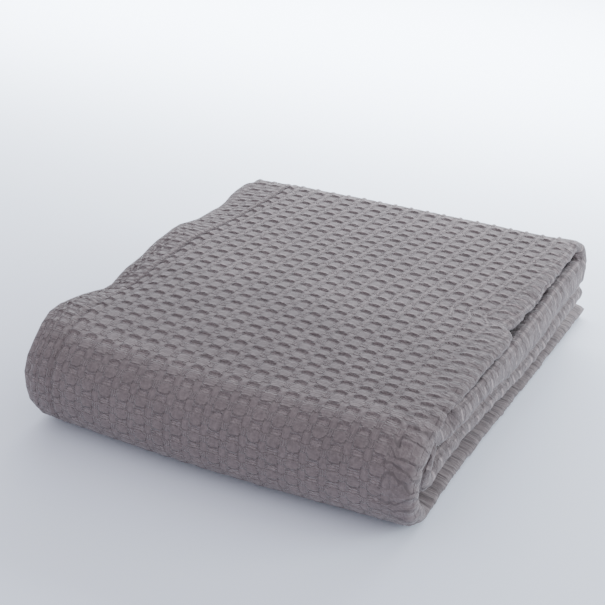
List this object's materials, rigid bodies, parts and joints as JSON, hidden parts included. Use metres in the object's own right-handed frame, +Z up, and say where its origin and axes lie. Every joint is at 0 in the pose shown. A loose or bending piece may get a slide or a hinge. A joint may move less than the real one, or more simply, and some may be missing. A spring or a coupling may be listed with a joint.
{
  "type": "folded pique blanket",
  "caption": "Pique blanket folded to a flat package, with a large rounded fold in front, stacked fold edges at the right and a stitched hem along the left.",
  "frame": {"origin": "middle of the package's footprint, on the surface it rests on", "axes": "+X along the front fold towards the stacked fold edges, +Y from the front fold to the back, +Z up"},
  "size_m": [0.3364, 0.3636, 0.087],
  "materials": {
    "fabric": "matte woven cloth"
  },
  "bodies": {
    "root": {"blanket": "fabric"}
  },
  "joints": []
}
